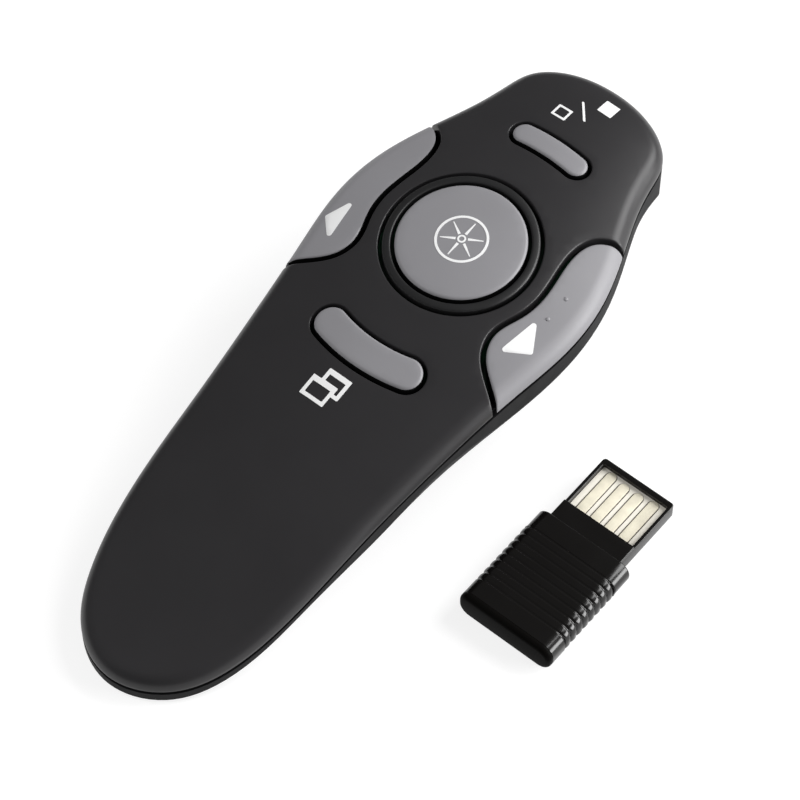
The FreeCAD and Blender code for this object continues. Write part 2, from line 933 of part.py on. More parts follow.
def laser_lens():
    """Small lens behind the barrel's lip."""
    seat = barrel_front - barrel_lip
    disc = Part.makeCylinder(barrel_bore, lens_thick, V(0, seat - lens_thick, laser_height), ALONG)
    return disc.makeFillet(lens_thick / 4, [disc.Edges[0]])


def laser_diode():
    """Can of the diode, with the flange that seats on the driver board."""
    flange = Part.makeCylinder(barrel_bore, diode_flange, V(0, barrel_back, laser_height), ALONG)
    can = Part.makeCylinder(diode_radius, diode_length, V(0, barrel_back, laser_height), ALONG)
    return fused([flange, can])


def laser_driver_board():
    return box_between(V(-driver_half, barrel_back - driver_thick, laser_height - driver_half),
                       V(driver_half, barrel_back, laser_height + driver_half))


def laser_window():
    """Clear pane that plugs the hole in the nose, with a flange behind the wall."""
    back = nose_reach - wall - pane_flange_thick - 2 * pane_recess
    flange = Part.makeCylinder(pane_radius + pane_flange, pane_flange_thick,
                               V(0, back, laser_height), ALONG)
    plug = Part.makeCylinder(pane_radius, nose_reach - pane_recess - back,
                             V(0, back, laser_height), ALONG)
    return fused([flange, plug])


def cover_screws():
    """Four self-tapping screws with domed heads and a round driver recess."""
    screws = []
    for x, y, seat, length in screw_places():
        head = Part.makeCylinder(screw_head_radius, screw_head_height,
                                 V(x, y, seat - screw_head_height))
        head = head.makeFillet(screw_head_height / 2, [min(head.Edges, key=lambda e: e.CenterOfMass.z)])
        shank = Part.makeCylinder(screw_radius, length, V(x, y, seat))
        screw = fused([head, shank])
        recess = Part.makeCylinder(screw_slot_radius, screw_slot_depth,
                                   V(x, y, seat - screw_head_height))
        screws.append(screw.cut(recess))
    return Part.makeCompound(screws)


def receiver_section(inset_side, inset_top, y, length):
    """Rounded bar of the receiver's section, drawn in at its sides and at its top."""
    half = receiver_half_width - inset_side
    height = receiver_height - 2 * inset_top
    bar = Part.makeBox(2 * half, length, height, V(receiver_across - half, y - length, inset_top))
    corner = receiver_corner - min(inset_side, receiver_corner / 3)
    edges = [edge for edge in bar.Edges if abs(edge.tangentAt(edge.FirstParameter).y) > 0.5]
    return bar.makeFillet(corner, edges)


def receiver_shell():
    """Housing with a plain collar, finger ribs round its sides and a hollow inside."""
    length = receiver_length - end_cap_length
    collar = receiver_section(0, collar_drop, receiver_front, collar_length)
    rest = receiver_section(0, 0, receiver_front - collar_length, length - collar_length)
    shell = fused([collar, rest])
    first = receiver_front - collar_length
    for index in range(rib_count):
        y = first - index * rib_pitch
        ring = receiver_section(0, 0, y, rib_groove)
        core = receiver_section(rib_side_depth, rib_top_depth, y, rib_groove)
        shell = shell.cut(ring.cut(core))
    half = receiver_half_width - rib_side_depth - receiver_wall
    hollow = box_between(
        V(receiver_across - half, receiver_front - length, plug_bottom),
        V(receiver_across + half, receiver_front - collar_length / 2, plug_bottom + bridge_height))
    mouth = box_between(
        V(receiver_across - plug_half_width, receiver_front - collar_length, plug_bottom),
        V(receiver_across + plug_half_width, receiver_front + overrun, plug_bottom + bridge_height))
    return shell.cut(hollow).cut(mouth)


def receiver_end_cap():
    """Bevelled rear closure of the receiver."""
    front = receiver_front - receiver_length + end_cap_length
    cap = receiver_section(0, 0, front, end_cap_length)
    back = min(cap.Faces, key=lambda f: f.CenterOfMass.y)
    return cap.makeFillet(end_cap_bevel, back.Edges)


def plug_box(side_inset, y_low, y_high, z_low, z_high):
    half = plug_half_width - side_inset
    return box_between(V(receiver_across - half, y_low, z_low),
                       V(receiver_across + half, y_high, z_high))


def receiver_plug_tray():
    """Open plug: a tray with low sides and tip, and a bridge over its root."""
    tip = receiver_front + plug_reach
    top = plug_bottom + plug_height
    root = receiver_front - plug_root
    tray = plug_box(0, root, tip, plug_bottom, top)
    hollow = plug_box(plug_side, root - overrun, tip - plug_tip, plug_bottom + plug_floor,
                      top + overrun)
    bridge = plug_box(0, root, tip - plug_tip - tongue_length, plug_bottom,
                      plug_bottom + bridge_height - tongue_gap)
    slot = plug_box(plug_side, root - overrun, tip, plug_bottom + plug_floor,
                    plug_bottom + plug_floor + tongue_plate + tongue_gap)
    slot = slot.common(plug_box(0, root - overrun, tip - plug_tip, 0, top))
    return fused([tray.cut(hollow), bridge.cut(slot)])


def receiver_tongue():
    """Pale contact board on the tray's floor."""
    tip = receiver_front + plug_reach - plug_tip - tongue_gap
    floor = plug_bottom + plug_floor
    return plug_box(plug_side + tongue_gap, receiver_front - plug_root, tip, floor,
                    floor + tongue_plate)


def receiver_contacts():
    """Four contact fingers with round tips; the outer two reach further."""
    level = plug_bottom + plug_floor + tongue_plate
    back = receiver_front + plug_reach - plug_tip - tongue_length
    fingers = []
    for across, reach in contact_across_shares:
        x = receiver_across + plug_half_width * across
        end = back + tongue_length * reach - contact_half_width
        bar = box_between(V(x - contact_half_width, back, level),
                          V(x + contact_half_width, end, level + contact_proud))
        tip = Part.makeCylinder(contact_half_width, contact_proud, V(x, end, level))
        fingers.append(fused([bar, tip]))
    return Part.makeCompound(fingers)


def receiver_board():
    """Circuit board inside the receiver, behind the tongue."""
    front = receiver_front - plug_root - tongue_gap
    floor = plug_bottom + plug_floor
    board = box_between(V(receiver_across - tiny_board_half_width, front - tiny_board_length, floor),
                        V(receiver_across + tiny_board_half_width, front, floor + tiny_board_thick))
    return board


def nodes():
    """Every piece by its node's name."""
    forward = page_forward_button()
    pieces = {
        "top_cover": top_cover(),
        "bottom_shell": bottom_shell(),
        "button_ring": button_ring(),
        "laser_button": laser_button(),
        "page_forward_button": forward,
        "page_back_button": mirrored(forward),
        "blank_button": blank_button(),
        "window_button": window_button(),
        "circuit_board": circuit_board(),
        "switch_bodies": switch_bodies(),
        "radio_chip": radio_chip(),
        "board_crystal": board_crystal(),
        "power_switch_body": power_switch_body(),
        "power_switch_knob": power_switch_knob(),
        "laser_barrel": laser_barrel(),
        "laser_lens": laser_lens(),
        "laser_diode": laser_diode(),
        "laser_driver_board": laser_driver_board(),
        "laser_window": laser_window(),
        "battery_left": cell_at(-1),
        "battery_right": cell_at(1),
        "battery_springs": Part.makeCompound([spring_at(-1), spring_at(1)]),
        "battery_bridge": battery_bridge(),
        "battery_tabs": battery_tabs(),
        "battery_door": battery_door(),
        "cover_screws": cover_screws(),
        "receiver_shell": receiver_shell(),
        "receiver_end_cap": receiver_end_cap(),
        "receiver_plug_tray": receiver_plug_tray(),
        "receiver_tongue": receiver_tongue(),
        "receiver_contacts": receiver_contacts(),
        "receiver_board": receiver_board(),
    }
    for name, x, y in switch_spots():
        pieces[name + "_plunger"] = switch_plunger(x, y)
    return pieces


os.makedirs("parts", exist_ok=True)
for node_name, node_shape in nodes().items():
    node_shape.exportStep(os.path.join("parts", node_name + ".step"))
    print(node_name, len(node_shape.Solids), node_shape.isValid(), round(node_shape.Volume, 1))
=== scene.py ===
import json
import math

import bpy
import bmesh
import numpy as np
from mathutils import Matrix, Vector
from mathutils.geometry import delaunay_2d_cdt


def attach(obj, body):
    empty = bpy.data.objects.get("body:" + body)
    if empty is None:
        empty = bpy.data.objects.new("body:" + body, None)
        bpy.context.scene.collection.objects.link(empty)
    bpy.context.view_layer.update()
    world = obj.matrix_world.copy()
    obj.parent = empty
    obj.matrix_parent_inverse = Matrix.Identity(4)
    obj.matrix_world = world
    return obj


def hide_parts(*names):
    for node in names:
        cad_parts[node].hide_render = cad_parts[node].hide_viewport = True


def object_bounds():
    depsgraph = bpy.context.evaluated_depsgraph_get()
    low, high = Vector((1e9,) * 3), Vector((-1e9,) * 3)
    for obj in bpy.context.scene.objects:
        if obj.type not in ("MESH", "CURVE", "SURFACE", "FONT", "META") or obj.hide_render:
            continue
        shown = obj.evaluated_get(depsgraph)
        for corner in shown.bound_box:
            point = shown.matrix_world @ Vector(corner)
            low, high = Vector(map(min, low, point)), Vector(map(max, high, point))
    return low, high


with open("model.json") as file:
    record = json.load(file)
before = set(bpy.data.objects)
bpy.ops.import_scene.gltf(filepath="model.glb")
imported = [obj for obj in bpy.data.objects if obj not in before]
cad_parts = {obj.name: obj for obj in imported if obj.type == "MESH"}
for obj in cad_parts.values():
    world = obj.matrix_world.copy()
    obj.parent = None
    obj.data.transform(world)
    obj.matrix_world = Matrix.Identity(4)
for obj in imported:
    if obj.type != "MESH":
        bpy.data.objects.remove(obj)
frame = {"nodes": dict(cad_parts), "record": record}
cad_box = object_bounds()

# Sizes are in millimetres and become metres when a mesh is made. The nose is toward +Y.
MM = 0.001
nodes = frame["nodes"]

# Camera, fitted to the photograph
camera_spot = (161.2, -208.6, 386.87)
camera_target = (10.025, -25.258, 22.0)
camera_lens = 148.5
camera_sensor = 36.0
camera_near_metres = 0.01

# Lamps: place and size in metres, power
key_lamp = ((0.31, 0.5, 0.46), (0.46, 0.46), 5.3)
front_lamp = ((-0.28, -0.38, 0.4), (0.5, 0.5), 1.85)
side_lamp = ((0.62, 0.33, 0.16), (0.4, 0.3), 4.8)
lamp_target = (0, -0.02, 0.01)
sky_strength = 0.14

# Floor: tone and glow as the camera sees them, tone that throws light back up, reach in metres
floor_tone = 0.35
floor_tone_spread = 0.03
floor_glow = 0.75
floor_return = 0.2
floor_reach = 3.0

# Body outline and parting line, as in the solid model
nose_tip = 35.0
body_length = 108.6
tail_tip = nose_tip - body_length
body_middle = (nose_tip + tail_tip) / 2
half_width = 20.5
outline_step = 0.4
parting_step = 0.5
outline_shares = [
    (0.0, 0.0), (0.0129, 0.364), (0.046, 0.584), (0.0829, 0.643), (0.1197, 0.691), (0.1934, 0.84),
    (0.267, 0.966), (0.3407, 1.0), (0.4328, 0.935), (0.5433, 0.855), (0.6722, 0.782),
    (0.8011, 0.722), (0.9024, 0.6), (0.9669, 0.396), (1.0, 0.0),
]
parting_height = 18.2
parting_shares = [
    (-0.03, 0.988), (0.0921, 1.0), (0.2302, 0.967), (0.3223, 0.934), (0.5065, 0.791),
    (0.6906, 0.571), (0.8287, 0.335), (0.93, 0.168), (1.0, 0.132), (1.03, 0.129),
]
page_edge_shares = [
    (1.075, 0.675), (0.944, 0.682), (0.802, 0.66), (0.688, 0.575), (0.644, 0.42), (0.665, 0.205),
    (0.688, 0.0), (0.66, -0.19), (0.603, -0.395), (0.645, -0.535), (0.765, -0.648), (0.92, -0.752),
    (1.075, -0.856),
]
rim_radius = 1.9
reveal = 0.7
cover_wall = 1.6
cover_lip = 0.5

# Fit of the crown to the solid cover: terms along Y and in the fall across, and rounds. It takes
# the vertices of faces that look up at least so far, clear of the rim and over the parting line by a
# share of a cap's thickness, and leaves out those that lie below the fit by more than the outlier.
crown_terms = 9
crown_fall_terms = 6
crown_rounds = 3
crown_least_up = 0.85
crown_rim_clear = 0.1
crown_parting_share = 0.35
crown_outlier = 0.15

# Points of the panel meshes: rows of the staggered grid, rows over the rounded rim, and the room
# that the points leave along edges, which is less where a panel covers the rim
row_share = 0.866
rim_row_degrees = range(12, 97, 12)
rim_grid_clear = 0.4
rim_zone_clear = 0.1
edge_room_share = 0.45
edge_room_most = 0.4
edge_room_rim = 0.05
merge_within = 1e-7
crossing_halvings = 24

# Buttons
laser_radius = 9.15
laser_proud = 0.3
ring_gap = 0.5
ring_width = 1.2
ring_groove = 0.55
ring_proud = 0.15
ring_depth = 1.0
slot_gap = 0.56
slot_proud = 0.3
page_gap = 0.75
cap_thick = 2.5
# A cap's faces take a near-black painted shade as walls of its gap from this depth inside the
# outline, and if they look sideways
wall_depth = 0.5
wall_most_up = 0.3
blank_slot = {"place": 19.85, "half_length": 6.15, "half_depth": 1.7, "bow": -45.0}
window_slot = {"place": -20.75, "half_length": 8.9, "half_depth": 2.3, "bow": 23.5}
button_rounding = 0.45
cover_rounding = 0.22
ring_rounding = 0.3
page_rounding = 0.35
# Room along Y between the ends of a page button's cut and the outline's own points, and how the
# rounding fades where a loop comes to the body's side
page_end_clear = 0.15
edge_fade_share = 0.8
least_rounding = 0.012

# Prints on the cover and the buttons: plan outlines, places along X and Y
print_thick = 0.035
print_sink = 0.03
print_rounding = 0.008
print_spacing = 0.6
hollow_square = [(-4.0, 24.8), (-1.65, 24.8), (-1.65, 26.95), (-4.0, 26.95)]
hollow_line = 0.34
slash_ends = [(-1.75, 29.35), (0.6, 26.55)]
slash_half = 0.17
solid_square = [(0.6, 29.5), (2.9, 29.5), (2.9, 31.9), (0.6, 31.9)]
windows_outer = [
    (-3.5, -26.95), (-2.2, -26.95), (-2.2, -25.1), (1.65, -25.1), (1.65, -28.4), (0.5, -28.4),
    (0.5, -30.15), (-3.5, -30.15),
]
windows_front = [(-3.0, -27.75), (0.0, -27.75), (0.0, -29.6), (-3.0, -29.6)]
windows_back = [
    (-1.65, -25.85), (1.1, -25.85), (1.1, -27.85), (0.62, -27.85), (0.62, -26.88), (-1.65, -26.88),
]
arrow_right = [(15.35, -2.6), (18.0, -6.95), (14.2, -9.65)]
arrow_left = [(-16.5, -2.6), (-18.5, -6.95), (-15.45, -10.1)]
arrow_corner = 0.38
burst_centre = (0.0, 0.1)
burst_ring = 3.75
burst_line = 0.36
burst_dot = 0.62
burst_dot_line = 0.26
burst_step = 0.25
burst_dot_steps = (0.12, 0.1)
ray_count = 6
ray_reach = 3.05
ray_start = 0.85
ray_half = 0.2
ray_taper = 3
ray_step = 0.2
nub_places = [(16.3, 2.35), (16.3, -1.6)]
nub_radius = 0.38
nub_height = 0.12
nub_foot_share = -0.5

# Receiver: sleeve, ribs and rear closure. The powers shape the ribs' grooves and crests.
receiver_across = 35.95
receiver_front = -17.4
receiver_length = 17.8
receiver_half_width = 7.7
receiver_height = 4.6
receiver_corner = 1.9
corner_loss = receiver_corner / 3
least_flat = 0.01
collar_length = 3.35
collar_drop = 0.3
collar_rounding = 0.3
rib_count = 9
rib_pitch = 1.31
rib_groove = 0.4
rib_side_depth = 0.5
rib_top_depth = 0.1
rib_swell = 0.3
rib_row = 0.065
groove_power = 0.6
swell_power = 2.5
step_bevel = 0.16
step_groove = 0.06
# Rows of the step behind the collar: place along Y, drawn in at the sides, drawn in at the top
collar_step_rows = [
    (0.12, 0.0, collar_drop), (0.1, step_groove, collar_drop + step_groove),
    (0.06, step_groove, collar_drop + step_groove), (0.02, 0.02, step_bevel),
    (-step_bevel / 2, 0.0, 0.04),
]
end_cap_length = 1.0
end_cap_bevel = 0.7
cap_seam = 0.05
seam_clear = 0.05
receiver_sharp_degrees = 50

# Plug of the receiver: tray, bridge over the tongue's root, and contacts
plug_half_width = 6.0
plug_reach = 12.15
plug_bottom = 1.1
plug_height = 2.3
plug_floor = 0.6
plug_side = 0.55
plug_tip = 0.85
plug_root = 2.0
plug_corner = 0.5
plug_rounding = 0.12
pocket_corner = 0.3
pocket_overlap = 1.0
floor_overlap = 1.5
floor_lift = 0.02
floor_rounding = 0.05
tongue_gap = 0.05
tongue_plate = 0.9
tongue_length = 8.2
bridge_height = 2.9
bridge_inset = 0.02
bridge_lift = 0.1
bridge_corner = 0.15
bridge_rounding = 0.14
contact_half_width = 0.9
contact_proud = 0.08
contact_outline = 0.14
contact_overlap = 0.2
contact_sink = 0.02
contact_spacing = 0.8
contact_rounding = 0.05
contact_rim_rounding = 0.01
contact_across_shares = [(-0.6, 1.0), (-0.2, 0.96), (0.2, 0.96), (0.6, 1.0)]


def spline_tangents(points, gaps, closed):
    """Derivatives of the C2 cubic through the points, by chord length."""
    count = len(points)
    matrix = np.zeros((count, count))
    right = np.zeros_like(points)
    for i in range(count):
        if not closed and i in (0, count - 1):
            near = 1 if i == 0 else count - 2
            gap = gaps[0] if i == 0 else gaps[-1]
            matrix[i, i], matrix[i, near] = 2, 1
            step = points[1] - points[0] if i == 0 else points[-1] - points[-2]
            right[i] = 3 * step / gap
            continue
        before, after = gaps[i - 1], gaps[i]
        matrix[i, i - 1] += after
        matrix[i, i] += 2 * (before + after)
        matrix[i, (i + 1) % count] += before
        ahead = (points[(i + 1) % count] - points[i]) / after
        behind = (points[i] - points[i - 1]) / before
        right[i] = 3 * (before * ahead + after * behind)
    return np.linalg.solve(matrix, right)


def spline(points, step, closed=False):
    """Points about step apart on the smooth curve through the given points."""
    points = np.array(points, float)
    following = np.roll(points, -1, axis=0)
    gaps = np.linalg.norm(following - points, axis=1)
    if not closed:
        gaps = gaps[:-1]
    slopes = spline_tangents(points, gaps, closed)
    samples = []
    for i, gap in enumerate(gaps):
        j = (i + 1) % len(points)
        for u in np.linspace(0, 1, max(2, round(gap / step)), endpoint=False):
            a, b = 2 * u ** 3 - 3 * u ** 2 + 1, u ** 3 - 2 * u ** 2 + u
            c, d = -2 * u ** 3 + 3 * u ** 2, u ** 3 - u ** 2
            near, far = b * gap * slopes[i], d * gap * slopes[j]
            samples.append(a * points[i] + near + c * points[j] + far)
    if not closed:
        samples.append(points[-1])
    return np.array(samples)


def outline_loop(step):
    right = [(half_width * w, nose_tip - body_length * y) for y, w in outline_shares]
    left = [(-x, y) for x, y in right[-2:0:-1]]
    return spline(right + left, step, True)


OUTLINE = outline_loop(outline_step)
PARTING = spline([(nose_tip - body_length * y, parting_height * z) for y, z in parting_shares],
                 parting_step)


def parting_z(y):
    return np.interp(y, PARTING[::-1, 0], PARTING[::-1, 1])


def distance_to(loop, x, y):
    """Distance from each point to a closed line of points."""
    along = np.roll(loop, -1, axis=0) - loop
    squares = (along ** 2).sum(1)
    best = np.full(np.shape(x), np.inf)
    px, py = np.asarray(x, float), np.asarray(y, float)
    for (sx, sy), (ax, ay), square in zip(loop, along, squares):
        t = np.clip(((px - sx) * ax + (py - sy) * ay) / square, 0, 1)
        best = np.minimum(best, np.hypot(px - sx - t * ax, py - sy - t * ay))
    return best


def inside(loop, x, y):
    """Whether each point lies inside the closed loop."""
    px, py = np.asarray(x, float), np.asarray(y, float)
    result = np.zeros(px.shape, bool)
    following = np.roll(loop, -1, axis=0)
    for (ax, ay), (bx, by) in zip(loop, following):
        if ay == by:
            continue
        crosses = (ay > py) != (by > py)
        result ^= crosses & (px < (bx - ax) * (py - ay) / (by - ay) + ax)
    return result


def crown_table(x, y):
    """Terms of the crown: height(y), and fall(y) times x squared."""
    place = (y - body_middle) / (body_length / 2)
    rise = np.polynomial.chebyshev.chebvander(place, crown_terms)
    fall = rise[..., :crown_fall_terms] * (x[..., None] / half_width) ** 2
    return np.concatenate([rise, fall], axis=-1)


def fit_crown():
    """Factors of the crown's terms, fitted to the vertices of the solid cover's top."""
    mesh = nodes["top_cover"].data
    keep = set()
    for polygon in mesh.polygons:
        if polygon.normal.z > crown_least_up:
            keep.update(polygon.vertices)
    spots = np.array([mesh.vertices[i].co for i in keep]) / MM
    depth = distance_to(OUTLINE, spots[:, 0], spots[:, 1])
    clear = depth > rim_radius + crown_rim_clear
    spots = spots[clear & inside(OUTLINE, spots[:, 0], spots[:, 1])]
    spots = spots[spots[:, 2] > parting_z(spots[:, 1]) + crown_parting_share * cap_thick]
    for _ in range(crown_rounds):
        table = crown_table(spots[:, 0], spots[:, 1])
        values = np.linalg.lstsq(table, spots[:, 2], rcond=None)[0]
        spots = spots[spots[:, 2] - table @ values > -crown_outlier]
    return values


CROWN_VALUES = fit_crown()


def crown_z(x, y):
    """Height of the crowned top, without the rounded rim."""
    return crown_table(np.asarray(x, float), np.asarray(y, float)) @ CROWN_VALUES


def dome_z(x, y):
    """Height of the closed upper half, with its rim rounded into the side."""
    depth = np.clip(distance_to(OUTLINE, x, y), 0, rim_radius)
    drop = rim_radius - np.sqrt(np.maximum(rim_radius ** 2 - (rim_radius - depth) ** 2, 0))
    return crown_z(x, y) - drop


def line_normals(loop, closed=True):
    """Unit normals to the left of the line's heading."""
    if closed:
        heading = np.roll(loop, -1, axis=0) - np.roll(loop, 1, axis=0)
    else:
        heading = np.gradient(loop, axis=0)
    heading /= np.linalg.norm(heading, axis=1)[:, None]
    return np.column_stack([-heading[:, 1], heading[:, 0]])


def area_of(loop):
    following = np.roll(loop, -1, axis=0)
    return ((loop[:, 0] * following[:, 1]) - (following[:, 0] * loop[:, 1])).sum() / 2


def facing(loop, sign):
    """The loop turned anticlockwise for sign 1 and clockwise for sign -1."""
    return loop if area_of(loop) * sign > 0 else loop[::-1]


def evenly(loop, step, closed=True):
    """The line resampled at even spacing."""
    line = np.vstack([loop, loop[:1]]) if closed else loop
    lengths = np.concatenate([[0], np.cumsum(np.linalg.norm(np.diff(line, axis=0), axis=1))])
    count = max(4, round(lengths[-1] / step))
    at = np.linspace(0, lengths[-1], count + 1)
    if closed:
        at = at[:-1]
    return np.column_stack([np.interp(at, lengths, line[:, k]) for k in (0, 1)])


def finish_mesh(name, mesh, body, material):
    for polygon in mesh.polygons:
        polygon.use_smooth = True
    mesh.materials.append(material)
    piece = bpy.data.objects.new(name, mesh)
    bpy.context.scene.collection.objects.link(piece)
    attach(piece, body)
    return piece


def sharpen(piece, degrees=38):
    """Marks the piece's sharp edges, so that smooth shading stops at them."""
    mesh = piece.data
    work = bmesh.new()
    work.from_mesh(mesh)
    limit = math.radians(degrees)
    for edge in work.edges:
        if len(edge.link_faces) == 2 and edge.calc_face_angle(0) > limit:
            edge.smooth = False
    work.to_mesh(mesh)
    work.free()
    return piece


def grid_points(loop, spacing):
    """Staggered rows of points over the loop's box."""
    low, high = loop.min(0), loop.max(0)
    rows = np.arange(low[1], high[1], spacing * row_share)
    spots = []
    for index, y in enumerate(rows):
        shift = spacing / 2 if index % 2 else 0
        xs = np.arange(low[0] + shift, high[0], spacing)
        spots.append(np.column_stack([xs, np.full(len(xs), y)]))
    return np.vstack(spots)


def rim_points():
    """Rows of points over the rounded rim, closer together towards the side."""
    ring = facing(OUTLINE, 1)
    normals = line_normals(ring)
    return np.vstack([ring + normals * rim_radius * (1 - math.cos(math.radians(degrees)))
                      for degrees in rim_row_degrees])


def dome_depth(spots):
    return distance_to(OUTLINE, spots[:, 0], spots[:, 1])


def free_points(rings, spacing, extra):
    """Points inside a panel: a grid, and the extra ones where it covers the rounded rim."""
    spots = grid_points(rings[0], spacing)
    near_rim = np.zeros(len(spots), bool)
    if extra is not None:
        spots = np.vstack([spots[dome_depth(spots) > rim_radius + rim_grid_clear], extra])
        near_rim = dome_depth(spots) < rim_radius + rim_zone_clear
    margin = min(spacing * edge_room_share, edge_room_most)
    keep = inside(rings[0], spots[:, 0], spots[:, 1])
    for index, ring in enumerate(rings):
        if index:
            keep &= ~inside(ring, spots[:, 0], spots[:, 1])
        room = distance_to(ring, spots[:, 0], spots[:, 1])
        keep &= room > np.where(near_rim, edge_room_rim, margin)
    return spots[keep]


def triangulate(rings, spots):
    """Plan points and triangles of the region, and each given point's index among the plan's."""
    points, edges = [], []
    for ring in rings:
        start = len(points)
        points.extend(ring.tolist())
        edges.extend((start + i, start + (i + 1) % len(ring)) for i in range(len(ring)))
    points.extend(spots.tolist())
    result = delaunay_2d_cdt([Vector(p) for p in points], edges, [], 0, merge_within, True)
    places, faces, sources = result[0], result[2], result[3]
    plan = np.array([tuple(p) for p in places])
    centres = np.array([plan[list(f)].mean(0) for f in faces])
    good = inside(rings[0], centres[:, 0], centres[:, 1])
    for ring in rings[1:]:
        good &= ~inside(ring, centres[:, 0], centres[:, 1])
    new_place = {source: new for new, old in enumerate(sources) for source in old}
    return plan, [face for face, kept in zip(faces, good) if kept], new_place


def add_verts(work, plan, heights):
    return [work.verts.new((x * MM, y * MM, z * MM)) for (x, y), z in zip(plan, heights)]


def join_rings(work, first, second):
    count = len(first)
    for i in range(count):
        j = (i + 1) % count
        work.faces.new((first[j], first[i], second[i], second[j]))


def panel_mesh(name, loops, top, base, rounding, spacing, extra=None, steps=4):
    """Closed solid between two height fields over a plan region, with rounded upper edges.

    The first loop is the outer one, the others are holes. rounding has one value or array a loop.
    """
    turned = [facing(np.asarray(loop, float), -1 if index else 1)
              for index, loop in enumerate(loops)]
    radii = [np.broadcast_to(np.asarray(radius, float), (len(loop),))
             for loop, radius in zip(turned, rounding)]
    sides = [line_normals(loop) for loop in turned]
    rings = [loop + normals * radius[:, None]
             for loop, normals, radius in zip(turned, sides, radii)]
    plan, faces, new_place = triangulate(rings, free_points(rings, spacing, extra))
    work = bmesh.new()
    upper = add_verts(work, plan, top(plan[:, 0], plan[:, 1]))
    lower = add_verts(work, plan, base(plan[:, 0], plan[:, 1]))
    for a, b, c in faces:
        turn = np.cross(plan[b] - plan[a], plan[c] - plan[a])
        order = (a, b, c) if turn > 0 else (a, c, b)
        work.faces.new([upper[i] for i in order])
        work.faces.new([lower[i] for i in reversed(order)])
    start = 0
    for loop, normals, radius in zip(turned, sides, radii):
        first = [new_place[start + i] for i in range(len(loop))]
        start += len(loop)
        ring = [upper[i] for i in first]
        for step in range(1, steps + 1):
            angle = math.pi / 2 * step / steps
            spot = loop + normals * (radius * (1 - math.sin(angle)))[:, None]
            drop = radius * (1 - math.cos(angle))
            following = add_verts(work, spot, top(spot[:, 0], spot[:, 1]) - drop)
            join_rings(work, ring, following)
            ring = following
        foot = add_verts(work, loop, base(loop[:, 0], loop[:, 1]))
        join_rings(work, ring, foot)
        join_rings(work, foot, [lower[i] for i in first])
    loose = [vert for vert in work.verts if not vert.link_faces]
    bmesh.ops.delete(work, geom=loose, context="VERTS")
    bmesh.ops.recalc_face_normals(work, faces=work.faces)
    mesh = bpy.data.meshes.new(name)
    work.to_mesh(mesh)
    work.free()
    return mesh


def circle_loop(radius, step=0.35):
    count = max(12, round(2 * math.pi * radius / step))
    angles = np.arange(count) * 2 * math.pi / count
    return np.column_stack([radius * np.cos(angles), radius * np.sin(angles)])


def bean_loop(slot, grow=0.0, step=0.3):
    """Band along an arc with round ends, as the slot buttons are."""
    side = 1 if slot["bow"] > 0 else -1
    radius = abs(slot["bow"])
    half = slot["half_depth"] + grow
    turn = math.asin((slot["half_length"] - slot["half_depth"]) / radius)
    centre = np.array([0, slot["place"] + slot["bow"]])

    def ray(angle):
        return np.column_stack([np.sin(angle), -side * np.cos(angle)])

    def arc(start, end, distance):
        count = max(3, round(abs(end - start) * distance / step))
        return centre + ray(np.linspace(start, end, count + 1)) * distance

    def cap(angle, sign):
        out = ray(np.array([angle]))[0]
        tip = centre + out * radius
        across = np.array([math.cos(angle), side * math.sin(angle)]) * sign
        swing = np.linspace(0, math.pi, max(6, round(math.pi * half / step)) + 1)[1:-1]
        return (tip + np.outer(np.cos(swing) * sign, out) * half
                + np.outer(np.sin(swing), across) * half)

    return np.vstack([arc(-turn, turn, radius + half), cap(turn, 1),
                      arc(turn, -turn, radius - half), cap(-turn, -1)])


def crossing_index(line, loop):
    """Indices of the line's points between which it lies inside the loop."""
    state = inside(loop, line[:, 0], line[:, 1])
    changes = np.nonzero(state[1:] != state[:-1])[0]
    return changes[0], changes[-1]


def edge_crossing(a, b):
    """Where the short step from a to b meets the outline."""
    low, high = 0.0, 1.0
    a_inside = inside(OUTLINE, a[:1], a[1:])[0]
    for _ in range(crossing_halvings):
        mid = (low + high) / 2
        spot = a + (b - a) * mid
        if inside(OUTLINE, spot[:1], spot[1:])[0] == a_inside:
            low = mid
        else:
            high = mid
    return a + (b - a) * low


def page_line(grow, step=0.3):
    """Inner edge of the right page button, moved inwards by grow, from outline to outline."""
    points = np.array([(half_width * x, half_width * y) for x, y in page_edge_shares])
    line = spline(points, step)
    line = evenly(line - line_normals(line, False) * grow, step, False)
    first, last = crossing_index(line, OUTLINE)
    start = edge_crossing(line[first + 1], line[first])
    end = edge_crossing(line[last], line[last + 1])
    return np.vstack([start, line[first + 1:last + 1], end])


def outline_between(start, end):
    """The right side of the outline strictly between two places along Y, nose first."""
    side = OUTLINE[OUTLINE[:, 0] > 0]
    side = side[np.argsort(-side[:, 1])]
    return side[(side[:, 1] < start) & (side[:, 1] > end)]


def cover_loop():
    """Plan outline of the cover, with the page buttons' openings cut out of its sides."""
    cut = page_line(page_gap)
    nose = outline_between(nose_tip, cut[0][1] + page_end_clear)
    tail = outline_between(cut[-1][1] - page_end_clear, tail_tip)
    right = np.vstack([[(0, nose_tip)], nose, cut, tail, [(0, tail_tip)]])
    left = right[-2:0:-1] * (-1, 1)
    return np.vstack([right, left])


def page_loop():
    """Plan outline of the right page button."""
    cut = page_line(0.0)
    edge = outline_between(cut[0][1] - page_end_clear, cut[-1][1] + page_end_clear)
    return np.vstack([cut, edge[::-1]])


def edge_rounding(loop, radius):
    """Rounding for each point of a loop: none where the loop runs along the body's side."""
    return np.clip(dome_depth(loop) * edge_fade_share, least_rounding, radius)


def cover_base(x, y):
    """Lower face of the cover: down to the reveal at the side, a wall's depth elsewhere."""
    depth = distance_to(OUTLINE, x, y)
    share = np.clip((depth - cover_lip) / (cover_wall - cover_lip), 0, 1)
    return (parting_z(y) + reveal / 2) * (1 - share) + (crown_z(x, y) - cover_wall) * share


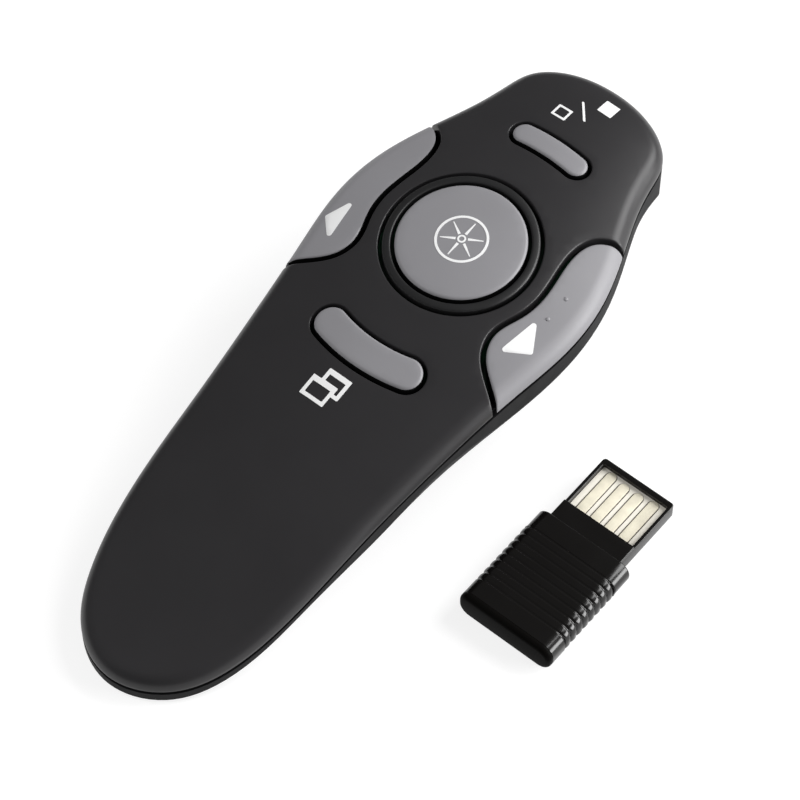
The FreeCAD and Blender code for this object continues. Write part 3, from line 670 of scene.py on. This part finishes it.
def cap_base(x, y):
    return np.maximum(crown_z(x, y) - cap_thick, parting_z(y) + reveal / 2)


def raised(amount):
    return lambda x, y: crown_z(x, y) + amount


# Materials: how metal tarnishes and how its roughness varies, and the clear pane
tarnish_share = 0.85
metal_roughness_shares = (0.8, 1.3)
pane_roughness = (0.03, 0.08)
pane_transmission = 0.9
pane_refraction = 1.49


def new_material(name):
    material = bpy.data.materials.new(name)
    material.use_nodes = True
    tree = material.node_tree
    return material, tree, tree.nodes["Principled BSDF"]


def add_node(tree, kind, **values):
    node = tree.nodes.new(kind)
    for key, value in values.items():
        if key in node.inputs:
            node.inputs[key].default_value = value
        else:
            setattr(node, key, value)
    return node


def noise(tree, scale, detail=3.0):
    place = tree.nodes.get("Place") or add_node(tree, "ShaderNodeTexCoord", name="Place")
    node = add_node(tree, "ShaderNodeTexNoise", Scale=scale, Detail=detail)
    tree.links.new(place.outputs["Object"], node.inputs["Vector"])
    return node


def between(tree, source, low, high):
    """Maps the usual span of a noise to the range from low to high."""
    spans = {"From Min": 0.3, "From Max": 0.7, "To Min": low, "To Max": high}
    node = add_node(tree, "ShaderNodeMapRange", **spans)
    tree.links.new(source, node.inputs["Value"])
    return node.outputs["Result"]


def colour_between(tree, source, low, high):
    ramp = add_node(tree, "ShaderNodeValToRGB")
    for stop, position, colour in zip(ramp.color_ramp.elements, (0.32, 0.68), (low, high)):
        stop.position = position
        stop.color = (*colour, 1)
    tree.links.new(source, ramp.inputs["Fac"])
    return ramp.outputs["Color"]


def plastic(name, colour, roughness, spread, grain=9000.0, grain_height=0.00001,
            roughness_spread=0.05, specular=0.5):
    """Moulded plastic: faint mottling, uneven gloss and a fine moulded grain."""
    material, tree, shader = new_material(name)
    cloud = noise(tree, scale=90.0, detail=4.0)
    low = tuple(c * (1 - spread) for c in colour)
    high = tuple(c * (1 + spread) for c in colour)
    tree.links.new(colour_between(tree, cloud.outputs["Fac"], low, high),
                   shader.inputs["Base Color"])
    gloss = noise(tree, scale=260.0, detail=5.0)
    tree.links.new(between(tree, gloss.outputs["Fac"], roughness - roughness_spread,
                           roughness + roughness_spread), shader.inputs["Roughness"])
    fine = noise(tree, scale=grain, detail=2.0)
    bump = add_node(tree, "ShaderNodeBump", Strength=0.5, Distance=grain_height)
    tree.links.new(fine.outputs["Fac"], bump.inputs["Height"])
    tree.links.new(bump.outputs["Normal"], shader.inputs["Normal"])
    shader.inputs["Specular IOR Level"].default_value = specular
    return material


def metal(name, colour, roughness, scratch=4000.0, metallic=1.0):
    """Plated or turned metal with fine scratches and tarnish."""
    material, tree, shader = new_material(name)
    shader.inputs["Metallic"].default_value = metallic
    cloud = noise(tree, scale=500.0, detail=5.0)
    low = tuple(c * tarnish_share for c in colour)
    tree.links.new(colour_between(tree, cloud.outputs["Fac"], low, colour),
                   shader.inputs["Base Color"])
    lines = noise(tree, scale=scratch, detail=2.0)
    ends = [roughness * share for share in metal_roughness_shares]
    tree.links.new(between(tree, lines.outputs["Fac"], *ends), shader.inputs["Roughness"])
    return material


def clear_plastic(name, tint):
    """Clear pane with a faint unevenness."""
    material, tree, shader = new_material(name)
    cloud = noise(tree, scale=400.0)
    tree.links.new(colour_between(tree, cloud.outputs["Fac"], tint, (1, 1, 1)),
                   shader.inputs["Base Color"])
    tree.links.new(between(tree, cloud.outputs["Fac"], *pane_roughness),
                   shader.inputs["Roughness"])
    shader.inputs["Transmission Weight"].default_value = pane_transmission
    shader.inputs["IOR"].default_value = pane_refraction
    return material


def make_materials():
    return {
        "soft_black": plastic("soft_black", (0.0255, 0.0245, 0.026), 0.36, 0.04,
                              roughness_spread=0.015, specular=0.35),
        "shell_black": plastic("shell_black", (0.009, 0.0088, 0.0095), 0.6, 0.05, specular=0.12),
        # Near-black painted shade for the walls in the gaps round the buttons
        "gap_shade_black": plastic("gap_shade_black", (0.004, 0.004, 0.004), 0.7, 0.05, specular=0.1),
        "ring_black": plastic("ring_black", (0.012, 0.012, 0.0125), 0.45, 0.05),
        "button_grey": plastic("button_grey", (0.258, 0.254, 0.268), 0.5, 0.03,
                               roughness_spread=0.02),
        "receiver_black": plastic("receiver_black", (0.0035, 0.003, 0.0027), 0.2, 0.1,
                                  grain_height=0.000002, roughness_spread=0.03, specular=0.45),
        "receiver_rear": plastic("receiver_rear", (0.004, 0.0037, 0.0034), 0.4, 0.1,
                                 grain_height=0.000002, roughness_spread=0.03, specular=0.015),
        "tongue_cream": plastic("tongue_cream", (0.95, 0.91, 0.81), 0.5, 0.03),
        "contact_gold": metal("contact_gold", (0.99, 0.93, 0.75), 0.4, metallic=0.06),
        "board_green": plastic("board_green", (0.01, 0.05, 0.025), 0.35, 0.2),
        "chip_black": plastic("chip_black", (0.015, 0.015, 0.016), 0.55, 0.1),
        "bright_metal": metal("bright_metal", (0.72, 0.72, 0.74), 0.25),
        "spring_steel": metal("spring_steel", (0.6, 0.6, 0.62), 0.3),
        "laser_brass": metal("laser_brass", (0.76, 0.58, 0.28), 0.3),
        "clear": clear_plastic("clear", (0.75, 0.76, 0.78)),
        "cell_jacket": plastic("cell_jacket", (0.08, 0.09, 0.12), 0.3, 0.15),
        "screw_black": metal("screw_black", (0.12, 0.12, 0.125), 0.45),
        "print_white": plastic("print_white", (0.9, 0.9, 0.9), 0.55, 0.02),
        "contact_edge": plastic("contact_edge", (0.06, 0.045, 0.03), 0.6, 0.1),
    }


def floor_material():
    """Floor that looks white, keeps the object's shadow and throws less light back up at it."""
    material, tree, shader = new_material("floor_white")
    cloud = noise(tree, scale=6.0)
    tones = (floor_tone,) * 3, (floor_tone + floor_tone_spread,) * 3
    tree.links.new(colour_between(tree, cloud.outputs["Fac"], *tones), shader.inputs["Base Color"])
    shader.inputs["Roughness"].default_value = 0.9
    shader.inputs["Specular IOR Level"].default_value = 0.1
    glow = add_node(tree, "ShaderNodeEmission", Color=(1, 1, 1, 1), Strength=floor_glow)
    both = add_node(tree, "ShaderNodeAddShader")
    tree.links.new(shader.outputs["BSDF"], both.inputs[0])
    tree.links.new(glow.outputs["Emission"], both.inputs[1])
    dim = add_node(tree, "ShaderNodeBsdfDiffuse", Color=(*(floor_return,) * 3, 1))
    path = add_node(tree, "ShaderNodeLightPath")
    seen = path.outputs["Is Camera Ray"]
    for other in ("Is Glossy Ray", "Is Transmission Ray"):
        either = add_node(tree, "ShaderNodeMath", operation="MAXIMUM")
        tree.links.new(seen, either.inputs[0])
        tree.links.new(path.outputs[other], either.inputs[1])
        seen = either.outputs["Value"]
    choose = add_node(tree, "ShaderNodeMixShader")
    tree.links.new(seen, choose.inputs["Fac"])
    tree.links.new(dim.outputs["BSDF"], choose.inputs[1])
    tree.links.new(both.outputs["Shader"], choose.inputs[2])
    tree.links.new(choose.outputs["Shader"], tree.nodes["Material Output"].inputs["Surface"])
    return material


MATERIALS = make_materials()


def dress_solids():
    """Every carried-over solid gets the material of its slot, except the bottom shell and the
    battery door, which take a darker black.
    """
    slots = {entry["node"]: entry["material_slot"] for entry in frame["record"]["subparts"]}
    for name, piece in nodes.items():
        piece.data.materials.clear()
        hidden_half = name in ("bottom_shell", "battery_door")
        piece.data.materials.append(MATERIALS["shell_black" if hidden_half else slots[name]])


def paint_gap_shade(piece):
    """The walls in the gaps round a button get a near-black painted shade, for the shade that falls
    in the gaps.
    """
    piece.data.materials.append(MATERIALS["gap_shade_black"])
    upright = [polygon for polygon in piece.data.polygons
               if abs(polygon.normal.z) < wall_most_up]
    centres = np.array([polygon.center for polygon in upright]) / MM
    for polygon, depth in zip(upright, dome_depth(centres)):
        if depth > wall_depth:
            polygon.material_index = 1


def add_panel(name, body, slot, loops, top, base, rounding, replaced, walls=False, **options):
    mesh = panel_mesh(name, loops, top, base, rounding, **options)
    piece = finish_mesh(name, mesh, body, MATERIALS[slot])
    # Paints the near-black gap shade on the cap's walls
    if walls:
        paint_gap_shade(piece)
    sharpen(piece)
    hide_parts(replaced)


def build_cover():
    loop = cover_loop()
    holes = [circle_loop(laser_radius + ring_gap + ring_width + ring_groove),
             bean_loop(blank_slot, slot_gap), bean_loop(window_slot, slot_gap)]
    rounding = [edge_rounding(loop, cover_rounding)] + [cover_rounding] * len(holes)
    add_panel("cover_skin", "housing", "soft_black", [loop] + holes, dome_z, cover_base, rounding,
              "top_cover", extra=rim_points(), spacing=1.2)


def build_buttons():
    circle, blank, window = circle_loop(laser_radius), bean_loop(blank_slot), bean_loop(window_slot)
    caps = [("laser_cap", "laser_button_body", "laser_button", circle, laser_proud, 1.0),
            ("blank_cap", "blank_body", "blank_button", blank, slot_proud, 0.7),
            ("window_cap", "window_body", "window_button", window, slot_proud, 0.7)]
    for name, body, node, loop, proud, spacing in caps:
        add_panel(name, body, "button_grey", [loop], raised(proud), cap_base, [button_rounding],
                  node, walls=True, spacing=spacing)
    right = page_loop()
    sides = [("page_forward_cap", "page_forward_body", "page_forward_button", 1),
             ("page_back_cap", "page_back_body", "page_back_button", -1)]
    for name, body, node, side in sides:
        loop = right * (side, 1)
        add_panel(name, body, "button_grey", [loop], dome_z, cap_base,
                  [edge_rounding(loop, page_rounding)], node, walls=True, extra=rim_points(),
                  spacing=0.8)


def build_ring():
    outer = circle_loop(laser_radius + ring_gap + ring_width)
    inner = circle_loop(laser_radius + ring_gap)
    add_panel("trim_ring", "housing", "ring_black", [outer, inner], raised(ring_proud),
              raised(-ring_depth), [ring_rounding, ring_rounding], "button_ring", spacing=0.5)


def polygon_line(corners, step=0.25):
    """Closed line along straight sides between the corners."""
    return evenly(np.array(corners, float), step)


def rounded_polygon(corners, radius, turn_steps=5):
    """Closed line with its corners rounded off."""
    corners = facing(np.array(corners, float), 1)
    count = len(corners)
    line = []
    for i in range(count):
        here = corners[i]
        back = corners[i - 1] - here
        ahead = corners[(i + 1) % count] - here
        back /= np.linalg.norm(back)
        ahead /= np.linalg.norm(ahead)
        half_angle = math.acos(np.clip(back @ ahead, -1, 1)) / 2
        middle = (back + ahead) / np.linalg.norm(back + ahead)
        centre = here + middle * radius / math.sin(half_angle)
        start = here + back * radius / math.tan(half_angle) - centre
        end = here + ahead * radius / math.tan(half_angle) - centre
        sweep = math.pi - 2 * half_angle
        for k in range(turn_steps + 1):
            t = k / turn_steps
            blend = math.sin((1 - t) * sweep) * start + math.sin(t * sweep) * end
            line.append(centre + blend / math.sin(sweep))
    return np.array(line)


def rectangle(x_low, x_high, y_low, y_high):
    return [(x_low, y_low), (x_high, y_low), (x_high, y_high), (x_low, y_high)]


def inset_rectangle(corners, distance):
    low, high = np.min(corners, axis=0) + distance, np.max(corners, axis=0) - distance
    return rectangle(low[0], high[0], low[1], high[1])


def add_print(name, body, loops, lift, surface=crown_z):
    """Thin printed layer on a curved surface."""
    mesh = panel_mesh(name, loops, lambda x, y: surface(x, y) + lift + print_thick,
                      lambda x, y: surface(x, y) + lift - print_sink,
                      [print_rounding] * len(loops), spacing=print_spacing, steps=1)
    sharpen(finish_mesh(name, mesh, body, MATERIALS["print_white"]))


def burst_loops():
    """Ring with a small ring at its middle, and the rays between them."""
    centre = np.array(burst_centre)
    ring_radii = (burst_ring, burst_ring - burst_line)
    dot_radii = (burst_dot, burst_dot - burst_dot_line)
    ring = [circle_loop(radius, burst_step) + centre for radius in ring_radii]
    dot = [circle_loop(radius, step) + centre for radius, step in zip(dot_radii, burst_dot_steps)]
    rays = []
    for i in range(ray_count):
        angle = math.pi / 2 + 2 * math.pi * i / ray_count
        out = np.array([math.cos(angle), math.sin(angle)])
        across = np.array([-out[1], out[0]]) * ray_half
        wide, narrow = centre + out * ray_start, centre + out * ray_reach
        rays.append([polygon_line([wide - across, narrow - across / ray_taper,
                                   narrow + across / ray_taper, wide + across], ray_step)])
    return [ring, dot] + rays


def build_prints():
    hollow = [polygon_line(hollow_square),
              polygon_line(inset_rectangle(hollow_square, hollow_line))]
    start, end = (np.array(spot) for spot in slash_ends)
    along = (end - start) / np.linalg.norm(end - start)
    side = np.array([-along[1], along[0]]) * slash_half
    slash = polygon_line([start - side, end - side, end + side, start + side])
    windows = [polygon_line(windows_outer), polygon_line(windows_front), polygon_line(windows_back)]
    add_print("print_hollow_square", "housing", hollow, 0)
    add_print("print_slash", "housing", [slash], 0)
    add_print("print_solid_square", "housing", [polygon_line(solid_square)], 0)
    add_print("print_windows", "housing", windows, 0)
    for side, body, corners in (("right", "page_forward_body", arrow_right),
                                ("left", "page_back_body", arrow_left)):
        arrow = rounded_polygon(corners, arrow_corner)
        add_print(f"print_arrow_{side}", body, [arrow], 0, dome_z)
    for index, loops in enumerate(burst_loops()):
        add_print(f"print_burst_{index}", "laser_button_body", loops, laser_proud)


def build_nubs():
    """Two small raised dots for the thumb on the right page button."""
    verts, faces = [], []
    rings, around = 5, 20
    for x, y in nub_places:
        base = float(dome_z(np.array([x]), np.array([y]))[0])
        first = len(verts)
        for r in range(rings + 1):
            radius = nub_radius * (1 - r / rings)
            rise = nub_height * (math.sin(math.pi / 2 * r / rings) if r else nub_foot_share)
            for k in range(around):
                angle = 2 * math.pi * k / around
                verts.append(((x + radius * math.cos(angle)) * MM,
                              (y + radius * math.sin(angle)) * MM, (base + rise) * MM))
        for r in range(rings):
            for k in range(around):
                a, b = first + r * around + k, first + r * around + (k + 1) % around
                faces.append((a, b, b + around, a + around))
        faces.append(tuple(first + k for k in reversed(range(around))))
    mesh = bpy.data.meshes.new("thumb_nubs")
    mesh.from_pydata(verts, [], faces)
    finish_mesh("thumb_nubs", mesh, "page_forward_body", MATERIALS["button_grey"])


def section_loop(inset_side, inset_top, y, turn_steps=7):
    """Rounded bar section across the receiver."""
    half = receiver_half_width - inset_side
    low, high = inset_top, receiver_height - inset_top
    radius = min(receiver_corner - min(inset_side, corner_loss), (high - low) / 2 - least_flat)
    points = []
    corners = [(half, low, -90), (half, high, 0), (-half, high, 90), (-half, low, 180)]
    for x, z, start in corners:
        cx = x - math.copysign(radius, x)
        cz = low + radius if z == low else high - radius
        for k in range(turn_steps + 1):
            angle = math.radians(start + 90 * k / turn_steps)
            points.append((receiver_across + cx + radius * math.cos(angle), y,
                           cz + radius * math.sin(angle)))
    return points


def rib_inset(y):
    """How far the ribbed part is drawn in at a place along Y, from 0 to 1."""
    first = receiver_front - collar_length
    place = (first - y) / rib_pitch
    if place < 0 or place > rib_count - 1 + rib_groove / rib_pitch:
        return 0.0
    within = (place - math.floor(place)) * rib_pitch
    if within < rib_groove:
        depth = math.sin(math.pi * within / rib_groove)
        return rib_swell + (1 - rib_swell) * depth ** groove_power
    across = 2 * (within - rib_groove) / (rib_pitch - rib_groove) - 1
    return rib_swell * abs(across) ** swell_power


def loft_mesh(name, sections):
    """Closed skin through sections with equally many points."""
    count = len(sections[0])
    verts = [tuple(c * MM for c in point) for section in sections for point in section]
    faces = []
    for s in range(len(sections) - 1):
        for k in range(count):
            a, b = s * count + k, s * count + (k + 1) % count
            faces.append((a, b, b + count, a + count))
    faces.append(tuple(reversed(range(count))))
    faces.append(tuple(range((len(sections) - 1) * count, len(sections) * count)))
    mesh = bpy.data.meshes.new(name)
    mesh.from_pydata(verts, [], faces)
    work = bmesh.new()
    work.from_mesh(mesh)
    bmesh.ops.recalc_face_normals(work, faces=work.faces)
    work.to_mesh(mesh)
    work.free()
    return mesh


def rounded_end(y, radius, side, top, heading, steps=5):
    """Sections of a rounded end. heading 1 starts it, -1 closes it."""
    sections = []
    for k in range(steps + 1):
        angle = math.pi / 2 * (k if heading > 0 else steps - k) / steps
        draw = radius * (1 - math.sin(angle))
        sections.append((y - heading * radius * (1 - math.cos(angle)), side + draw, top + draw))
    return sections


def add_receiver_piece(name, mesh, material, degrees=38):
    piece = finish_mesh(name, mesh, "receiver_body", MATERIALS[material])
    return sharpen(piece, degrees)


def sleeve_piece(name, table, material, replaced):
    """Part of the receiver's sleeve, from a table of places along Y and draws at side and top."""
    mesh = loft_mesh(name, [section_loop(side, top, y) for y, side, top in table])
    piece = add_receiver_piece(name, mesh, material, receiver_sharp_degrees)
    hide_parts(replaced)


def build_receiver_housing():
    back = receiver_front - receiver_length
    seam = back + end_cap_length
    step = receiver_front - collar_length
    table = rounded_end(receiver_front, collar_rounding, 0.0, collar_drop, 1)
    table += [(step + ahead, side, top) for ahead, side, top in collar_step_rows]
    for y in np.arange(step - step_bevel, seam + cap_seam + seam_clear, -rib_row):
        depth = rib_inset(y)
        table.append((y, rib_side_depth * depth, rib_top_depth * max(0.0, depth - rib_swell)))
    table += [(seam + cap_seam, 0.0, 0.0), (seam + cap_seam / 2, cap_seam, cap_seam)]
    sleeve_piece("receiver_housing", table, "receiver_black", "receiver_shell")
    table = [(seam + cap_seam / 2, cap_seam, cap_seam), (seam - cap_seam / 2, 0.0, 0.0),
             (back + end_cap_bevel, 0.0, 0.0)]
    table += rounded_end(back, end_cap_bevel, 0.0, 0.0, -1)[1:]
    sleeve_piece("receiver_rear", table, "receiver_rear", "receiver_end_cap")


def level_at(z):
    return lambda x, y: np.full(np.shape(x), float(z))


def plug_loop(inset, y_low, y_high, corner):
    half = plug_half_width - inset
    return rounded_polygon(rectangle(receiver_across - half, receiver_across + half, y_low, y_high),
                           corner)


def finger_loop(x, y_back, y_tip, half):
    """Straight finger with a round tip."""
    swing = np.linspace(0, math.pi, 13)
    tip = np.column_stack([x + half * np.cos(swing), y_tip - half + half * np.sin(swing)])
    sides = evenly(np.array([(x - half, y_tip - half), (x - half, y_back), (x + half, y_back),
                             (x + half, y_tip - half)]), 0.5, False)
    return np.vstack([tip, sides[1:-1]])


def build_tray():
    """Walls, floor and bridge of the plug. Gives the place along Y where the bridge ends."""
    tip = receiver_front + plug_reach
    root = receiver_front - plug_root
    pocket_end = tip - plug_tip
    bridge_front = pocket_end - tongue_length
    loops = [plug_loop(0, root, tip, plug_corner),
             plug_loop(plug_side, bridge_front - pocket_overlap, pocket_end, pocket_corner)]
    walls = panel_mesh("plug_frame", loops, level_at(plug_bottom + plug_height),
                       level_at(plug_bottom), [plug_rounding, plug_rounding], spacing=1.0)
    piece = add_receiver_piece("plug_frame", walls, "receiver_black")
    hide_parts("receiver_plug_tray")
    loop = plug_loop(plug_side / 2, bridge_front - floor_overlap, tip - plug_tip / 2, pocket_corner)
    floor = panel_mesh("plug_floor", [loop], level_at(plug_bottom + plug_floor),
                       level_at(plug_bottom + floor_lift), [floor_rounding], spacing=1.5)
    add_receiver_piece("plug_floor", floor, "receiver_black")
    loop = plug_loop(bridge_inset, root, bridge_front, bridge_corner)
    bridge = panel_mesh("plug_bridge", [loop], level_at(plug_bottom + bridge_height - tongue_gap),
                        level_at(plug_bottom + bridge_lift), [bridge_rounding], spacing=1.5)
    add_receiver_piece("plug_bridge", bridge, "receiver_black")
    return bridge_front


def build_contacts(bridge_front):
    """Gold pads, each on a dark rim that shows as its outline."""
    level = plug_bottom + plug_floor + tongue_plate
    base = level_at(level - contact_sink)
    for index, (across, reach) in enumerate(contact_across_shares):
        x = receiver_across + plug_half_width * across
        back, end = bridge_front - contact_overlap, bridge_front + tongue_length * reach
        name = f"contact_{index}"
        pad = panel_mesh(name, [finger_loop(x, back, end, contact_half_width - contact_outline)],
                         level_at(level + contact_proud), base, [contact_rounding],
                         spacing=contact_spacing)
        piece = add_receiver_piece(name, pad, "contact_gold")
        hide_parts("receiver_contacts")
        name = f"contact_rim_{index}"
        rim = panel_mesh(name, [finger_loop(x, back, end, contact_half_width)],
                         level_at(level + contact_proud / 2), base, [contact_rim_rounding],
                         spacing=contact_spacing, steps=1)
        add_receiver_piece(name, rim, "contact_edge")


def build_floor():
    level = float(cad_box[0][2])
    mesh = bpy.data.meshes.new("floor")
    corners = [(x, y, level)
               for x, y in rectangle(-floor_reach, floor_reach, -floor_reach, floor_reach)]
    mesh.from_pydata(corners, [], [(0, 1, 2, 3)])
    mesh.materials.append(floor_material())
    floor = bpy.data.objects.new("floor", mesh)
    bpy.context.scene.collection.objects.link(floor)


def aim(thing, spot, target):
    thing.location = spot
    heading = Vector(target) - Vector(spot)
    thing.rotation_euler = heading.to_track_quat("-Z", "Y").to_euler()
    bpy.context.scene.collection.objects.link(thing)


def build_lights():
    lamps = {"key": key_lamp, "front": front_lamp, "side": side_lamp}
    for name, (spot, size, power) in lamps.items():
        data = bpy.data.lights.new(name, "AREA")
        data.shape = "RECTANGLE"
        data.size, data.size_y = size
        data.energy = power
        lamp = bpy.data.objects.new(name, data)
        aim(lamp, spot, lamp_target)
        # The front lamp only fills. The photo shows no gloss from its side.
        lamp.visible_glossy = name != "front"
    world = bpy.data.worlds.new("studio")
    world.use_nodes = True
    bpy.context.scene.world = world
    sky = world.node_tree.nodes["Background"]
    sky.inputs["Color"].default_value = (1, 1, 1, 1)
    sky.inputs["Strength"].default_value = sky_strength


def build_camera():
    data = bpy.data.cameras.new("camera")
    data.lens = camera_lens
    data.sensor_width = camera_sensor
    data.clip_start = camera_near_metres
    camera = bpy.data.objects.new("camera", data)
    aim(camera, Vector(camera_spot) * MM, Vector(camera_target) * MM)
    bpy.context.scene.camera = camera


build_camera()
dress_solids()
build_cover()
build_buttons()
build_ring()
build_prints()
build_nubs()
build_receiver_housing()
build_contacts(build_tray())
build_floor()
build_lights()
bpy.context.scene.view_settings.view_transform = "Standard"
